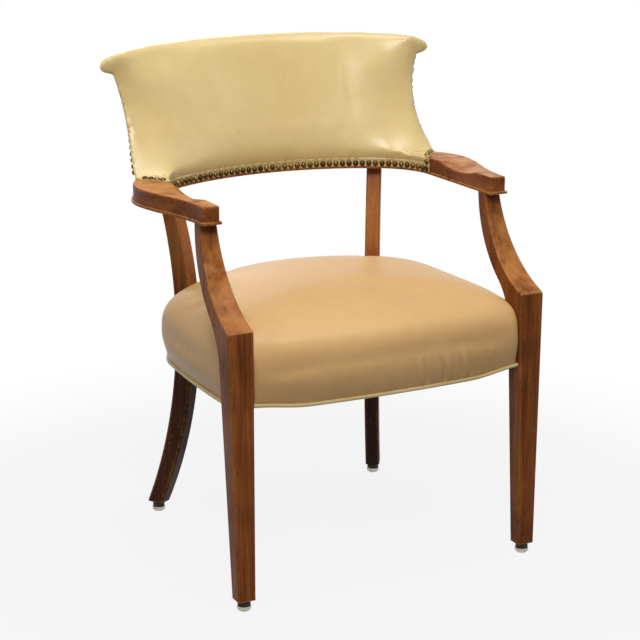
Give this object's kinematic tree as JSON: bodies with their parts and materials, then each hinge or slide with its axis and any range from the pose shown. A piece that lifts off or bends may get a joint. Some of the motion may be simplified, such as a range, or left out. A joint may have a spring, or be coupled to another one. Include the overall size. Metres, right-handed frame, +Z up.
{
  "type": "upholstered armchair",
  "caption": "Open-arm chair with a padded barrel back rolled over at the crest, a crowned seat, scooped wooden arms, swept front legs, sabre rear legs and cushioned glides.",
  "frame": {"origin": "on the floor under the middle of the chair's overall box", "axes": "+Z up, -Y towards the front that the sitter faces, +Y to the back, +X to the right as seen from the front"},
  "size_m": [0.6146, 0.55, 0.8115],
  "materials": {
    "walnut": "worn satin lacquer over reddish-brown stain",
    "frame_wood": "bare sawn hardwood",
    "back_vinyl": "smooth satin vinyl",
    "seat_vinyl": "smooth satin vinyl",
    "welt_vinyl": "smooth satin vinyl over cord",
    "foam": "open-cell foam and cotton felt",
    "jute": "woven jute",
    "black_cloth": "matt woven cambric",
    "antique_brass": "darkened antique brass",
    "black_rubber": "matt",
    "nickel_steel": "dulled nickel plate"
  },
  "bodies": {
    "chair": {"arm_left": "walnut", "arm_nails_left": "antique_brass", "arm_nails_right": "antique_brass", "arm_right": "walnut", "back_burlap": "jute", "back_stile_left": "frame_wood", "back_stile_right": "frame_wood", "bow_rail": "walnut", "corner_blocks": "frame_wood", "crest_rail": "frame_wood", "dust_cover": "black_cloth", "frame_dowels": "frame_wood", "front_leg_left": "walnut", "front_leg_right": "walnut", "glide_cushions": "black_rubber", "glide_nails": "nickel_steel", "inside_back_cushion": "back_vinyl", "inside_nails": "antique_brass", "outside_back_cover": "back_vinyl", "outside_nails": "antique_brass", "rear_leg_left": "walnut", "rear_leg_right": "walnut", "seat_cover": "seat_vinyl", "seat_foam": "foam", "seat_rail_back": "frame_wood", "seat_rail_front": "frame_wood", "seat_rail_left": "frame_wood", "seat_rail_right": "frame_wood", "seat_webbing_cross": "jute", "seat_webbing_long": "jute", "seat_welt": "welt_vinyl", "wing_nails_left": "antique_brass", "wing_nails_right": "antique_brass"},
    "glide_front_left": {"glide_base_front_left": "nickel_steel"},
    "glide_front_right": {"glide_base_front_right": "nickel_steel"},
    "glide_rear_left": {"glide_base_rear_left": "nickel_steel"},
    "glide_rear_right": {"glide_base_rear_right": "nickel_steel"}
  },
  "joints": [
    {"name": "glide_front_left_tilt", "type": "hinge", "parent": "chair", "child": "glide_front_left", "pos_m": [-0.2515, -0.255, 0.0175], "axis": [1, 0, 0], "range_deg": [-5, 5], "stiffness_Nm_per_rad": 0.2},
    {"name": "glide_front_right_tilt", "type": "hinge", "parent": "chair", "child": "glide_front_right", "pos_m": [0.2515, -0.255, 0.0175], "axis": [1, 0, 0], "range_deg": [-5, 5], "stiffness_Nm_per_rad": 0.2},
    {"name": "glide_rear_left_tilt", "type": "hinge", "parent": "chair", "child": "glide_rear_left", "pos_m": [-0.21286, 0.18798, 0.0175], "axis": [1, 0, 0], "range_deg": [-5, 5], "stiffness_Nm_per_rad": 0.2},
    {"name": "glide_rear_right_tilt", "type": "hinge", "parent": "chair", "child": "glide_rear_right", "pos_m": [0.21286, 0.18798, 0.0175], "axis": [1, 0, 0], "range_deg": [-5, 5], "stiffness_Nm_per_rad": 0.2}
  ]
}
